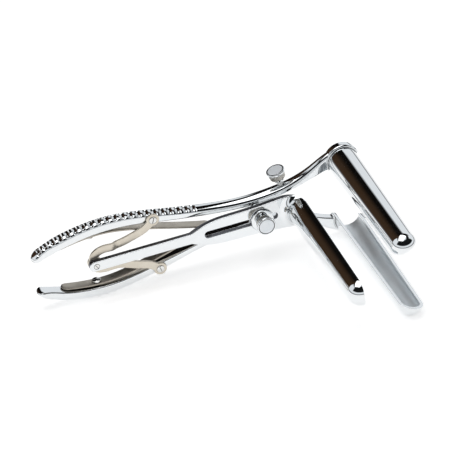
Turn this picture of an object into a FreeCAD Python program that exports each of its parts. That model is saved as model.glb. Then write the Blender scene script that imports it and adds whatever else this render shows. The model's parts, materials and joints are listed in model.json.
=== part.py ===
import FreeCAD, Part
import math
import os

# Three-blade anal speculum, lying on its side with the blades held apart.
# Working frame: x runs from the handle ends to the blades, z is the direction in which the
# two lever blades spread, and the blades point to -y. "rise" below means a height toward the
# blade tips (so y = -rise). The origin is on the hinge axis, in the middle of the handles.
# At the end every piece is turned a little so that the instrument lies flat on a table, and
# the origin goes to the middle of the instrument's box, at the level of the table.

os.makedirs("parts", exist_ok=True)
Vector = FreeCAD.Vector

# Each lever stands this many degrees open of the pose in which the blades close to a tube
rest_opening = 19.4

# Clearances
running_gap = 0.08
face_gap = 0.1
lug_gap = 0.3

# Levers: stations along x, each with the palm side, the rounded crest, the rises of the two
# flat sides, and how far the crest is crowned. The crest is the outer side; the palm side
# faces the other lever. On the handles the crest is flatter, and the grooves cross it.
lever_stations = [
    (-144.6, 11.2, 12.6, -5.2, -1.6, 1.0),
    (-143.2, 10.4, 14.4, -7.0, 0.6, 1.0),
    (-138.8, 11.6, 17.7, -7.6, 1.3, 1.0),
    (-129.0, 14.9, 21.7, -7.7, 1.3, 1.0),
    (-114.0, 18.1, 24.9, -7.9, 1.1, 1.0),
    (-98.0, 19.2, 25.9, -8.5, 0.4, 1.0),
    (-78.0, 17.3, 23.6, -9.5, -0.7, 1.0),
    (-56.0, 12.9, 18.5, -10.6, -1.3, 1.1),
    (-32.0, 8.4, 13.5, -11.7, -2.5, 1.5),
    (-8.0, 5.9, 10.9, -11.8, -2.7, 1.9),
    (10.0, 6.5, 11.6, -11.8, -2.7, 1.9),
    (22.0, 8.8, 14.0, -10.6, -2.3, 1.9),
    (36.0, 13.9, 20.6, -7.6, -0.8, 1.9),
    (48.0, 18.0, 27.8, -5.9, 0.0, 1.9),
    (60.0, 20.0, 31.6, -5.7, 0.0, 1.9),
]
crest_crown_share = 0.45

# Finger grooves across the crest
groove_count = 21
groove_start = 7.0
groove_pitch = 5.1
groove_radius = 1.9
groove_depth = 1.1

# Hinge at the middle, with lapped lugs: the upper lever's lug lies on the lower lever's
lug_top_rise = -2.75
lap_rise = -7.2
lug_low_rise = -11.8
hinge_pin_radius = 2.5
lug_radius = 5.3
lug_web_width = 8.0
lug_web_reach = 7.9
stud_slot_width = 0.9
stud_slot_depth = 0.8
stud_head_chamfer = 0.4
stud_head_radius = 4.7
stud_head_height = 1.5
stud_collar_radius = 5.0

# Sliding bar with its slot, and the foot of the middle blade
bar_rise_low = 2.3
bar_thickness = 3.6
bar_end = -111.2
bar_half_width = 3.3
slot_left = -37.2
slot_right = 10.4
slot_width = 4.6
guide_length = 8.4

# Blades: half tubes, a little narrower at the closed round tip than at the root
lever_blade_centre = (57.7, 20.6)
blade_root_rise = -5.8
straight_root = 6.0
blade_radius = 9.9
blade_tip_radius = 8.1
blade_wall = 1.3
blade_length = 112.2
collar_wall = 1.4
collar_radius = blade_radius + collar_wall
collar_top_rise = 0.0
collar_round = 1.2
middle_blade_centre = 26.7
middle_blade_radius = 10.4
middle_blade_tip_radius = 8.6
middle_blade_length = 116.5
foot_radius = 5.0
bend_radius = 14.0
plate_edge = 1.0
plate_points = [
    (-46.0, bar_half_width), (-37.5, 6.8), (-20.0, 9.0), (0.0, 9.6), (12.0, 10.6),
    (middle_blade_centre, middle_blade_radius + plate_edge),
]

# Links from the handles to the end of the bar
link_thickness = 1.4
link_width = 5.2
link_rise = -0.72
link_step = 1.52
link_pin = (-66.7, 17.9)
link_eye_radius = 4.1
link_knees = [(-72.6, 13.3), (-80.5, 10.4)]
link_bend_x = -93.0
link_hook_x = -102.0
link_return_x = -107.2
bar_pin = (-106.7, 0.0)
bar_eye_radius = 4.4
upper_hook = 7.9
lower_hook = 6.2
link_screw_radius = 1.5
link_screw_low = -5.2
link_head_radius = 2.35
link_head_height = 0.75
link_head_chamfer = 0.2
end_screw_radius = 1.15
end_head_radius = 1.75
end_sink_depth = 1.0
driver_slot_width = 0.6
driver_slot_depth = 0.4

# Leaf springs and their screws
spring_seat = (-106.5, 17.45)
spring_points = [
    (-129.0, 14.15), (-118.0, 16.2), spring_seat, (-93.0, 17.0), (-78.0, 14.0),
    (-60.0, 9.0), (-44.0, 4.3), (-30.0, 0.75),
]
spring_thickness = 1.1
spring_rise_low = -8.1
spring_rise_high = -0.95
spring_screw_radius = 1.5
spring_screw_length = 5.6
spring_head_radius = 2.8
spring_head_height = 1.1
spring_head_chamfer = 0.3
spring_head_gap = 0.3

# Clamp screw on the hinge axis and stop screw through the upper lever
knob_radius = 6.0
knob_height = 6.0
knob_chamfer = 0.6
knob_cap = 1.5
knob_neck_radius = 3.1
screw_radius = 1.6
clamp_washer_radius = 7.2
clamp_washer_height = 1.4
clamp_washer_chamfer = 0.5
clamp_neck = 1.6
clamp_screw_low = 0.5
stop_face = (15.7, 23.8)
stop_rise = -7.1
stop_lean = 13.0
stop_screw_radius = 2.0
stop_neck = 2.2
stop_reach = 16.2
stop_stem_start = 0.5

# Lengths that only have to reach past the piece they cut
cut_over = 1.0
cut_far = 20.0

bar_rise_high = bar_rise_low + bar_thickness
bar_face = bar_rise_high + face_gap / 2
washer_top = bar_face + clamp_washer_height
stud_bottom = lug_low_rise - face_gap
spring_middle_rise = (spring_rise_low + spring_rise_high) / 2
link_top = link_rise + link_thickness


def point(x, rise, z):
    return Vector(x, -rise, z)


def curve_through(points):
    curve = Part.BSplineCurve()
    curve.interpolate([point(x, 0.0, z) for x, z in points])
    return curve


def line(start, end):
    return Part.LineSegment(point(start[0], 0.0, start[1]), point(end[0], 0.0, end[1])).toShape()


def plan_prism(edges, low, high):
    """A solid with the outline given in the x-z plane, between two rises."""
    face = Part.Face(Part.Wire(edges))
    face.translate(point(0.0, low, 0.0))
    return face.extrude(point(0.0, high - low, 0.0))


def post(x, z, radius, low, high):
    """A round post along the blade direction."""
    return Part.makeCylinder(radius, high - low, point(x, low, z), point(0.0, 1.0, 0.0))


def mirrored(shape):
    return shape.mirror(Vector(0, 0, 0), Vector(0, 0, 1))


def largest_solid(shape):
    return max(shape.Solids, key=lambda solid: solid.Volume)


def lever_section(x, palm, crest, low, high, crown):
    """The outline of the lever across x: three flat sides and a rounded crest."""
    shoulder = crest - min(crown, crest_crown_share * (crest - palm))
    corners = [
        point(x, low, shoulder), point(x, low, palm), point(x, high, palm), point(x, high, shoulder),
    ]
    edges = [Part.LineSegment(one, two).toShape() for one, two in zip(corners, corners[1:])]
    edges.append(Part.Arc(corners[3], point(x, (low + high) / 2, crest), corners[0]).toShape())
    return Part.Wire(edges)


def lever_blank():
    """Handle, neck and arm of the upper lever, before the lugs and bores."""
    sections = [lever_section(*station) for station in lever_stations]
    blank = Part.makeLoft(sections, True, False)
    crest = curve_through([(station[0], station[2]) for station in lever_stations])
    return blank, crest


def grooved(blank, crest):
    """Cuts the finger grooves across the crest at one pitch along it."""
    for index in range(groove_count):
        along = crest.parameterAtDistance(groove_start + index * groove_pitch, crest.FirstParameter)
        place = crest.value(along)
        tangent = crest.tangent(along)[0]
        outward = Vector(-tangent.z, 0, tangent.x)
        centre = place + outward * (groove_radius - groove_depth)
        blank = blank.cut(post(centre.x, centre.z, groove_radius, -cut_far, cut_far))
    return blank


def lug(low, high):
    """The lapped ear of one lever around the hinge pin, on the upper side."""
    ear = post(0.0, 0.0, lug_radius, low, high)
    web = Part.makeBox(lug_web_width, high - low, lug_web_reach, point(-lug_web_width / 2, high, 0.0))
    return ear.fuse(web)


def collar_space():
    x, z = lever_blade_centre
    return post(x, z, collar_radius, -cut_far, cut_far)


def lever(ear_low, ear_high):
    blank, crest = lever_blank()
    blank = grooved(blank, crest)
    blank = blank.cut(collar_space())
    blank = largest_solid(blank)
    blank = blank.cut(post(0.0, 0.0, lug_radius + lug_gap, -cut_far, cut_far))
    blank = largest_solid(blank)
    blank = blank.fuse(lug(ear_low, ear_high))
    blank = blank.cut(post(0.0, 0.0, hinge_pin_radius + running_gap / 2, -cut_far, cut_far))
    blank = blank.cut(post(link_pin[0], link_pin[1], link_screw_radius, link_screw_low, cut_far))
    blank = blank.cut(spring_screw_shank())
    return blank.removeSplitter()


def spring_seat_face():
    """How far out the head of a spring's screw lies: just under the bent spring's inner face."""
    return spring_seat[1] - spring_thickness / 2 - spring_head_gap


def spring_screw_shank(gap=0.0):
    start = point(spring_seat[0], spring_middle_rise, spring_seat_face())
    return turned(spring_screw_radius + gap, spring_screw_length, start, Vector(0, 0, 1))


def stop_axis():
    lean = math.radians(stop_lean)
    return Vector(math.sin(lean), 0, -math.cos(lean))


def stop_place(depth):
    """A point on the stop screw's axis, at a depth under the face of its knob."""
    start = point(stop_face[0], stop_rise, stop_face[1])
    return start + stop_axis() * depth


def turned(radius, height, start, direction):
    return Part.makeCylinder(radius, height, start, direction)


def trough(centre_x, centre_z, root_radius, end_radius, low, high, wall, first_angle):
    """A half tube along the blade direction with a closed round tip."""
    def half_section(root, end):
        straight_end = high - end_radius
        outer = [
            Vector(root, 0, low), Vector(root, 0, max(low, 0.0) + straight_root),
            Vector(end, 0, straight_end),
        ]
        edges = []
        for one, two in zip(outer, outer[1:]):
            edges.append(Part.LineSegment(one, two).toShape())
        half = math.sqrt(0.5)
        middle = Vector(end * half, 0, straight_end + end * half)
        top = Vector(0, 0, straight_end + end)
        edges.append(Part.Arc(outer[-1], middle, top).toShape())
        edges.append(Part.LineSegment(top, Vector(0, 0, low)).toShape())
        edges.append(Part.LineSegment(Vector(0, 0, low), outer[0]).toShape())
        return Part.Face(Part.Wire(edges))

    axis = Vector(0, 0, 1)
    outside = half_section(root_radius, end_radius).revolve(Vector(), axis, 180.0)
    inside = half_section(root_radius - wall, end_radius - wall).revolve(Vector(), axis, 180.0)
    shell = outside.cut(inside)
    # drawn along z, then laid along the blade direction and turned about it
    shell.rotate(Vector(), Vector(1, 0, 0), 90.0)
    shell.rotate(Vector(), Vector(0, 1, 0), -first_angle)
    shell.translate(Vector(centre_x, 0, centre_z))
    return largest_solid(shell)


def collar():
    """The thick rounded lip around the root of a lever blade."""
    x, z = lever_blade_centre
    low = blade_root_rise
    high = collar_top_rise
    ring = post(x, z, collar_radius, low, high)
    rims = [edge for edge in ring.Edges if edge.Length > 10 * collar_round and len(edge.Vertexes) == 1]
    ring = ring.makeFillet(collar_round, rims)
    ring = ring.cut(post(x, z, blade_radius, low - cut_over, high + cut_over))
    half = Part.makeBox(2 * cut_far, 2 * cut_far, cut_far, Vector(-cut_far, -cut_far, 0.0))
    half.rotate(Vector(), Vector(0, 1, 0), -rest_opening)
    half.translate(Vector(x, 0, z))
    return largest_solid(ring.common(half))


def bar_outline():
    """Closed outline of the bar and its plate, both sides from one list."""
    upper = curve_through(plate_points)
    lower = curve_through([(x, -z) for x, z in plate_points])
    round_centre = bar_end + bar_half_width
    nose = Part.Arc(
        point(round_centre, 0.0, -bar_half_width), point(bar_end, 0.0, 0.0),
        point(round_centre, 0.0, bar_half_width),
    ).toShape()
    first = line((round_centre, bar_half_width), plate_points[0])
    last = line((plate_points[0][0], -bar_half_width), (round_centre, -bar_half_width))
    end = Part.LineSegment(upper.EndPoint, lower.EndPoint).toShape()
    return [nose, first, upper.toShape(), end, lower.toShape(), last]


def stadium(left, right, width, low, high):
    radius = width / 2
    shape = post(left + radius, 0.0, radius, low, high)
    shape = shape.fuse(post(right - radius, 0.0, radius, low, high))
    box = Part.makeBox(right - left - width, high - low, width, point(left + radius, high, -radius))
    return shape.fuse(box).removeSplitter()


def centre_bar():
    bar = plan_prism(bar_outline(), bar_rise_low, bar_rise_high)
    low = bar_rise_low - cut_over
    high = bar_rise_high + cut_over
    bar = bar.cut(stadium(slot_left, slot_right, slot_width, low, high))
    bar = bar.cut(post(middle_blade_centre, 0.0, middle_blade_radius, low, high))
    bar = bar.cut(post(bar_pin[0], bar_pin[1], end_screw_radius, low, high))
    return largest_solid(bar.cut(end_screw_cone()).cut(bend_waste()))


def end_screw_cone():
    """The sunk head of the screw at the end of the bar, and its seat in the bar."""
    start = point(bar_pin[0], bar_rise_high - end_sink_depth, bar_pin[1])
    return Part.makeCone(end_screw_radius, end_head_radius, end_sink_depth, start, point(0.0, 1.0, 0.0))


def bend_waste():
    """What lies outside the round bend between the plate and the middle blade."""
    left = middle_blade_centre - bend_radius
    top = bar_rise_low + bend_radius
    side = bend_radius + cut_far
    start = point(left, top, -cut_far)
    block = Part.makeBox(side, side, 2 * cut_far, start)
    return block.cut(Part.makeCylinder(bend_radius, 2 * cut_far, start, Vector(0, 0, 1)))


def middle_blade():
    blade = trough(
        middle_blade_centre, 0.0, middle_blade_radius, middle_blade_tip_radius,
        bar_rise_low, middle_blade_length, blade_wall, 90.0,
    )
    # the foot flares out onto the plate like a trumpet, no wider than the plate
    corner = Vector(middle_blade_radius, 0, bar_rise_high)
    top = corner + Vector(0, 0, foot_radius)
    side = corner + Vector(foot_radius, 0, 0)
    half = foot_radius * (1 - math.sqrt(0.5))
    hollow = Part.Arc(top, corner + Vector(half, 0, half), side).toShape()
    face = Part.Face(Part.Wire([
        Part.LineSegment(corner, top).toShape(), hollow, Part.LineSegment(side, corner).toShape(),
    ]))
    foot = face.revolve(Vector(), Vector(0, 0, 1), 180.0)
    foot.rotate(Vector(), Vector(1, 0, 0), 90.0)
    foot.rotate(Vector(), Vector(0, 1, 0), -90.0)
    foot.translate(Vector(middle_blade_centre, 0, 0))
    limits = plan_prism(bar_outline(), bar_rise_high, bar_rise_high + foot_radius + cut_over)
    foot = foot.common(limits)
    return largest_solid(blade.fuse(foot).removeSplitter().cut(bend_waste()))


def strap(path, low, high):
    """A flat strap along a path, with round joints between its straight runs."""
    pieces = []
    for start, end in zip(path, path[1:]):
        length = math.hypot(end[0] - start[0], end[1] - start[1])
        run = Part.makeBox(length, high - low, link_width, Vector(0, -high, -link_width / 2))
        angle = math.degrees(math.atan2(end[1] - start[1], end[0] - start[0]))
        run.rotate(Vector(), Vector(0, 1, 0), -angle)
        run.translate(Vector(start[0], 0, start[1]))
        pieces.append(run)
    for x, z in path[1:-1]:
        pieces.append(post(x, z, link_width / 2, low, high))
    return pieces


def link(hook, step):
    """One link of the upper side, from its handle screw to the end of the bar."""
    low = link_rise
    high = link_top
    bend = (link_bend_x, hook)
    near = [link_pin] + link_knees + [bend]
    far = [bend, (link_hook_x, hook), (link_return_x, hook / 2), bar_pin]
    pieces = strap(near, low, high) + strap(far, low + step, high + step)
    pieces.append(post(link_pin[0], link_pin[1], link_eye_radius, low, high))
    pieces.append(post(bar_pin[0], bar_pin[1], bar_eye_radius, low + step, high + step))
    pieces.append(post(bend[0], bend[1], link_width / 2, low, high + step))
    body = pieces[0].multiFuse(pieces[1:])
    for pin, radius in [(link_pin, link_screw_radius), (bar_pin, end_screw_radius)]:
        body = body.cut(post(pin[0], pin[1], radius + running_gap / 2, -cut_far, cut_far))
    return body.removeSplitter()


def driver_slot(x, z, radius, top, angle):
    """The cut for a screwdriver in a head that faces the blade side."""
    height = driver_slot_depth + cut_over
    start = point(-2 * radius, top + cut_over, -driver_slot_width / 2)
    cut = Part.makeBox(4 * radius, height, driver_slot_width, start)
    cut.rotate(Vector(), Vector(0, 1, 0), -angle)
    cut.translate(Vector(x, 0, z))
    return cut


def link_screw():
    x, z = link_pin
    seat = link_top + face_gap / 2
    shank = post(x, z, link_screw_radius, link_screw_low, seat)
    head = post(x, z, link_head_radius, seat, seat + link_head_height)
    rims = [edge for edge in head.Edges if abs(-edge.CenterOfMass.y - seat - link_head_height) < 0.01]
    head = head.makeChamfer(link_head_chamfer, rims)
    cut = driver_slot(x, z, link_head_radius, seat + link_head_height, -70.0)
    return shank.fuse(head).cut(cut).removeSplitter()


def end_screw():
    x, z = bar_pin
    shank = post(x, z, end_screw_radius, bar_rise_low, bar_rise_high - end_sink_depth)
    cut = driver_slot(x, z, end_head_radius, bar_rise_high, 60.0)
    return shank.fuse(end_screw_cone()).cut(cut).removeSplitter()


def leaf_spring():
    """A flat strip on edge, as wide as the handle's side, bent to one smooth curve."""
    inner = curve_through([(x, z - spring_thickness / 2) for x, z in spring_points])
    outer = curve_through([(x, z + spring_thickness / 2) for x, z in spring_points])
    first = Part.LineSegment(inner.StartPoint, outer.StartPoint).toShape()
    last = Part.LineSegment(inner.EndPoint, outer.EndPoint).toShape()
    outline = [inner.toShape(), last, outer.toShape(), first]
    strip = plan_prism(outline, spring_rise_low, spring_rise_high)
    return strip.cut(spring_screw_shank(running_gap / 2))


def spring_screw():
    """The screw that holds a spring against its handle, its head on the inner side."""
    start = point(spring_seat[0], spring_middle_rise, spring_seat_face() - spring_head_height)
    head = turned(spring_head_radius, spring_head_height, start, Vector(0, 0, 1))
    rims = [edge for edge in head.Edges if abs(edge.CenterOfMass.z - start.z) < 0.01]
    head = head.makeChamfer(spring_head_chamfer, rims)
    corner = start + Vector(-2 * spring_head_radius, -driver_slot_width / 2, 0)
    cut = Part.makeBox(4 * spring_head_radius, driver_slot_width, driver_slot_depth, corner)
    return spring_screw_shank().fuse(head).cut(cut).removeSplitter()


def pivot_stud():
    """Hinge pin with its head, the collar under the bar and the guide in the bar's slot."""
    head = post(0.0, 0.0, stud_head_radius, stud_bottom - stud_head_height, stud_bottom)
    rims = [edge for edge in head.Edges if abs(edge.CenterOfMass.y - head.BoundBox.YMax) < 0.01]
    head = head.makeChamfer(stud_head_chamfer, rims)
    lug_top = lug_top_rise + face_gap / 2
    pin = post(0.0, 0.0, hinge_pin_radius, stud_bottom, lug_top)
    top = bar_rise_low - face_gap / 2
    ring = post(0.0, 0.0, stud_collar_radius, lug_top, top)
    body = head.fuse(pin).fuse(ring)
    bore_low = clamp_screw_low - 3 * face_gap
    body = body.cut(post(0.0, 0.0, screw_radius + running_gap / 2, bore_low, bar_rise_high))
    corner = point(-cut_far, stud_bottom - stud_head_height + stud_slot_depth, -stud_slot_width / 2)
    cut = Part.makeBox(2 * cut_far, stud_slot_depth, stud_slot_width, corner)
    return body.cut(cut).removeSplitter()


def guide_block():
    low = bar_rise_low - face_gap / 2
    width = slot_width - 2 * running_gap
    block = stadium(-guide_length / 2, guide_length / 2, width, low, bar_face)
    return block.cut(post(0.0, 0.0, screw_radius + running_gap / 2, low - cut_over, bar_face + cut_over))


def clamp_washer():
    ring = post(0.0, 0.0, clamp_washer_radius, bar_face, washer_top)
    rims = [edge for edge in ring.Edges if abs(-edge.CenterOfMass.y - washer_top) < 0.01]
    ring = ring.makeChamfer(clamp_washer_chamfer, rims)
    bore = post(0.0, 0.0, screw_radius + running_gap / 2, bar_face - cut_over, washer_top + cut_over)
    return ring.cut(bore)


def knob(start, direction, neck):
    """A screw head: a neck on its seat, then the thick head, bored for its screw."""
    body = turned(knob_neck_radius, neck, start, direction)
    base = start + direction * neck
    head = turned(knob_radius, knob_height, base, direction)
    rims = []
    for edge in head.Edges:
        if len(edge.Vertexes) == 1 and edge.Length > 5 * knob_radius:
            rims.append(edge)
    head = head.makeChamfer(knob_chamfer, rims)
    body = body.fuse(head)
    bore = turned(screw_radius + running_gap / 2, neck + knob_height - knob_cap, start, direction)
    return body.cut(bore).removeSplitter()


def clamp_parts():
    top = washer_top + face_gap
    head = knob(point(0.0, top, 0.0), point(0.0, 1.0, 0.0), clamp_neck)
    high = top + clamp_neck + knob_height - knob_cap - face_gap
    stem = post(0.0, 0.0, screw_radius, clamp_screw_low, high)
    return head, stem


def stop_parts():
    """The knob of the stop screw, and its screw: thin in the knob, thick in the lever."""
    outward = stop_axis() * -1
    start = stop_place(knob_height + stop_neck)
    head = knob(start, outward, stop_neck)
    thin_depth = knob_height + stop_neck + stop_stem_start
    thin_length = thin_depth - knob_cap - face_gap
    thin = turned(screw_radius, thin_length, stop_place(thin_depth), outward)
    tip = stop_place(stop_reach)
    thick = turned(stop_screw_radius, (tip - start).Length - face_gap, tip, outward)
    return head, thick.fuse(thin).removeSplitter()


def rest_rotation():
    """Turns the three resting places, on the handle, blade root and blade tip, to one height."""
    widest = max(lever_stations[:len(lever_stations) // 2], key=lambda station: station[2])
    handle = point(widest[0], (widest[3] + widest[4]) / 2, -widest[2])
    x, z = lever_blade_centre
    root = point(x, (blade_root_rise + collar_top_rise) / 2, -(z + collar_radius))
    tip = point(x, blade_length - blade_tip_radius, -(z + blade_tip_radius))
    normal = (root - handle).cross(tip - handle)
    if normal.z < 0:
        normal = normal * -1
    return FreeCAD.Rotation(normal, Vector(0, 0, 1))


def table_shift(shapes):
    """From the hinge to the middle of the instrument's box at table level, to a hundredth."""
    boxes = [shape.optimalBoundingBox(False, False) for shape in shapes]
    low = [min(getattr(box, side) for box in boxes) for side in ("XMin", "YMin", "ZMin")]
    high = [max(getattr(box, side) for box in boxes) for side in ("XMax", "YMax")]
    return Vector(
        -round((low[0] + high[0]) / 2, 2), -round((low[1] + high[1]) / 2, 2), -round(low[2], 2),
    )


def build():
    parts = {}
    upper = lever(lap_rise + face_gap / 2, lug_top_rise)
    lower = mirrored(lever(lug_low_rise, lap_rise - face_gap / 2))
    stop_hole = turned(stop_screw_radius + running_gap / 2, cut_far, stop_place(knob_height), stop_axis())
    upper = largest_solid(upper.cut(stop_hole))
    parts["upper_lever"] = upper
    parts["lower_lever"] = lower
    x, z = lever_blade_centre
    blade = trough(
        x, z, blade_radius, blade_tip_radius, blade_root_rise, blade_length, blade_wall, rest_opening,
    )
    parts["upper_blade"] = blade
    parts["lower_blade"] = mirrored(blade)
    parts["upper_blade_collar"] = collar()
    parts["lower_blade_collar"] = mirrored(collar())
    parts["centre_bar"] = centre_bar()
    parts["middle_blade"] = middle_blade()
    parts["bar_end_screw"] = end_screw()
    parts["upper_link"] = link(upper_hook, link_step)
    parts["lower_link"] = mirrored(link(lower_hook, 0.0))
    parts["upper_link_screw"] = link_screw()
    parts["lower_link_screw"] = mirrored(link_screw())
    parts["upper_spring"] = leaf_spring()
    parts["lower_spring"] = mirrored(leaf_spring())
    parts["upper_spring_screw"] = spring_screw()
    parts["lower_spring_screw"] = mirrored(spring_screw())
    parts["pivot_stud"] = pivot_stud()
    parts["guide_block"] = guide_block()
    parts["clamp_washer"] = clamp_washer()
    head, stem = clamp_parts()
    parts["clamp_knob"] = head
    parts["clamp_screw"] = stem
    head, stem = stop_parts()
    parts["stop_knob"] = head
    parts["stop_screw"] = stem
    return parts


rotation = rest_rotation()
parts = build()
laid = {}
for name, shape in parts.items():
    turned_shape = shape.copy()
    turned_shape.Placement = FreeCAD.Placement(Vector(), rotation).multiply(turned_shape.Placement)
    laid[name] = turned_shape
shift = table_shift(laid.values())
for name, shape in laid.items():
    shape.Placement = FreeCAD.Placement(shift, FreeCAD.Rotation()).multiply(shape.Placement)
    shape.exportStep("parts/" + name + ".step")
    print(name, shape.isValid(), len(shape.Solids), round(shape.Volume, 1))
print("rest rotation", rotation.Axis, math.degrees(rotation.Angle))
print("shift", shift)
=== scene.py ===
import json
import math
import bmesh
import bpy
import numpy as np
from mathutils import Matrix, Vector
from mathutils.geometry import tessellate_polygon


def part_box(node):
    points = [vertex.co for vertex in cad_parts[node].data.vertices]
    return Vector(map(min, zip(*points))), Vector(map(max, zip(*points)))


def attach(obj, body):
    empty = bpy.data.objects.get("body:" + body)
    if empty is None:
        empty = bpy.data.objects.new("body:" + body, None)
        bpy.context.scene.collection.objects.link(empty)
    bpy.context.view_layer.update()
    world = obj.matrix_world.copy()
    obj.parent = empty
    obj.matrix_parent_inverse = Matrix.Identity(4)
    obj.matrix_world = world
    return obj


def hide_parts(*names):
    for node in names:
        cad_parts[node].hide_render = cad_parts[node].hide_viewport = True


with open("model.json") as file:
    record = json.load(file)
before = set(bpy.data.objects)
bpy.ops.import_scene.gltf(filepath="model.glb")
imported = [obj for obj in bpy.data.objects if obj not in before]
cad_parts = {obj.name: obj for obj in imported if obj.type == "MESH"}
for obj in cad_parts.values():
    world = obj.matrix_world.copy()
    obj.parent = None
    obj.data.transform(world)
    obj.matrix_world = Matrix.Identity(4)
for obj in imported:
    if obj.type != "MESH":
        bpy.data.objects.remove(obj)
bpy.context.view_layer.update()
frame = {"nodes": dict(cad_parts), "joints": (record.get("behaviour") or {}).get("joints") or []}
joints = {joint["name"]: joint for joint in frame["joints"]}

# The instrument's own directions, read from its joints: along the handles toward the blades,
# up the blades toward their tips (here called rise), and the way in which the levers spread.
# Every size and place below is in millimetres along these three.
along_way = -Vector(joints["bar_slide"]["axis"])
rise_way = Vector(joints["spread_upper"]["axis"])
spread_way = along_way.cross(-rise_way)
metres_from_mm = np.array([along_way, rise_way, spread_way]) / 1000
hinge_place = np.array(joints["spread_upper"]["pos_m"])

# Handles, necks and arms of the two levers: place along, palm side, crest, low rise, high rise,
# and how far the crest is crowned
lever_stations = np.array([
    (-144.6, 11.6, 13.2, -5.2, -1.6, 1.0),
    (-143.2, 11.3, 14.4, -7.0, 0.6, 1.0),
    (-138.8, 11.8, 17.7, -7.6, 1.3, 1.0),
    (-129.0, 14.9, 21.7, -7.7, 1.3, 1.0),
    (-114.0, 18.1, 24.9, -7.9, 1.1, 1.0),
    (-98.0, 19.2, 25.9, -8.5, 0.4, 1.0),
    (-78.0, 17.3, 23.6, -9.5, -0.7, 1.0),
    (-56.0, 12.9, 18.5, -10.6, -1.3, 1.1),
    (-32.0, 8.4, 13.5, -11.7, -2.5, 1.5),
    (-8.0, 5.9, 10.9, -11.8, -2.7, 1.9),
    (10.0, 6.5, 11.6, -11.8, -2.7, 1.9),
    (22.0, 8.8, 14.0, -10.6, -2.3, 1.9),
    (36.0, 13.9, 20.6, -7.6, -0.8, 1.9),
    (48.0, 18.0, 27.8, -5.9, 0.0, 1.9),
    (60.0, 20.0, 31.6, -5.7, 0.0, 1.9),
])
crest_crown_share = 0.45
lever_edge_round = 0.9
lever_shoulder_round = 1.2
handle_shoulder_round = 3.0
shoulder_change = 90.0
lever_edge_share = 0.3
shoulder_round_share = 0.42
handle_nose = 1.3
nose_least_share = 0.08
arm_end = 53.0

# Finger grooves across the crest
groove_count = 21
groove_start = 7.0
groove_pitch = 5.1
groove_radius = 1.9
groove_depth = 1.1
groove_lip = 0.12
groove_fade_start = 0.7
groove_fade_reach = 0.15

# Hinge
lug_radius = 5.3
lug_web_half = 4.0
lug_web_reach = 7.9
lug_rises = {"upper_lever": (-7.15, -2.75), "lower_lever": (-11.8, -7.25)}
hinge_pin_radius = 2.5
stud_bottom = -11.9
stud_head_radius = 4.7
stud_head_height = 1.5
stud_collar_radius = 5.0
stud_slot_width = 0.9
stud_slot_depth = 0.8

# Bar, plate and slot
bar_low = 2.3
bar_high = 5.9
bar_end = -111.2
bar_half_width = 3.3
slot_left = -37.2
slot_right = 10.4
slot_width = 4.6
guide_length = 8.4
guide_gap = 0.08

# Blades
blade_place = (57.7, 20.6)
blade_radius = 9.9
blade_tip_radius = 8.1
blade_wall = 1.3
lip_width = 2.2
lip_bead = 0.9
blade_low = -5.8
blade_top = 112.2
blade_turn = 19.4
straight_root = 6.0
collar_radius = 11.3
collar_top = 0.0
collar_round = 1.2
middle_place = (26.7, 0.0)
middle_radius = 10.4
middle_tip_radius = 8.6
middle_top = 116.5
plate_edge = 1.0
foot_radius = 5.0
bend_radius = 14.0
plate_points = [(-46.0, bar_half_width), (-37.5, 6.8), (-20.0, 9.0), (0.0, 9.6), (12.0, 10.6),
                (middle_place[0], middle_radius + plate_edge)]

# Links and their screws
link_pin = (-66.7, 17.9)
link_knees = [(-72.6, 13.3), (-80.5, 10.4)]
link_bend_x = -93.0
link_hook_x = -102.0
link_return_x = -107.2
bar_pin = (-106.7, 0.0)
link_width = 5.2
link_thickness = 1.4
link_low = -0.72
link_step = 1.52
link_step_length = 4.4
link_eye_radius = 4.1
bar_eye_radius = 4.4
link_hooks = {"upper": 7.9, "lower": 6.2}
link_screw_radius = 1.5
link_head_radius = 2.35
link_head_height = 0.75
link_head_dome = 0.4
link_screw_low = -4.9
end_screw_radius = 1.15
end_head_radius = 1.75

# Leaf springs and their screws
spring_seat = (-106.5, 17.45)
spring_points = [(-129.0, 14.15), (-118.0, 16.2), spring_seat, (-93.0, 17.0), (-78.0, 14.0),
                 (-60.0, 9.0), (-44.0, 4.3), (-30.0, 0.75)]
spring_thickness = 1.1
spring_rises = (-8.1, -0.95)
spring_head_radius = 2.8
spring_head_height = 1.1
spring_head_gap = 0.3
spring_screw_radius = 1.5
spring_screw_length = 5.0
spring_end_round = 3.6

# Knobs and screws
knob_radius = 6.0
knob_height = 6.0
knob_rim_height = 1.7
knob_cap = 1.5
knob_waist_radius = 4.9
knob_neck_radius = 3.1
clamp_neck = 1.6
screw_radius = 1.6
washer_radius = 7.2
washer_low = 5.95
washer_height = 1.4
clamp_screw_low = 0.5
stop_face = (15.7, -7.1, 23.8)
stop_lean = math.radians(13.0)
stop_neck = 2.2
stop_reach = 16.2
stop_screw_radius = 2.0
knurl_pitch = 0.85
knurl_depth = 0.16
thread_pitch = 0.7
thread_depth = 0.14

# Where the pieces face each other across a small gap
face_gap = 0.1
wall_gap = 0.04
slot_cut_width = 0.6
slot_cut_depth = 0.4

# An edge between two faces that turns by more than this stays sharp in the light
sharp_angle = math.radians(34.0)

# A cut that goes right through a piece reaches this far
cut_reach = 30.0

# How finely bevels, plate edges, half turns, and a half tube's length and tip are divided
bevel_angle = math.radians(50.0)
bevel_steps = 3
plate_edge_steps = 3
half_turn_steps = 72
tube_steps = 26
tip_steps = 28

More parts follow.
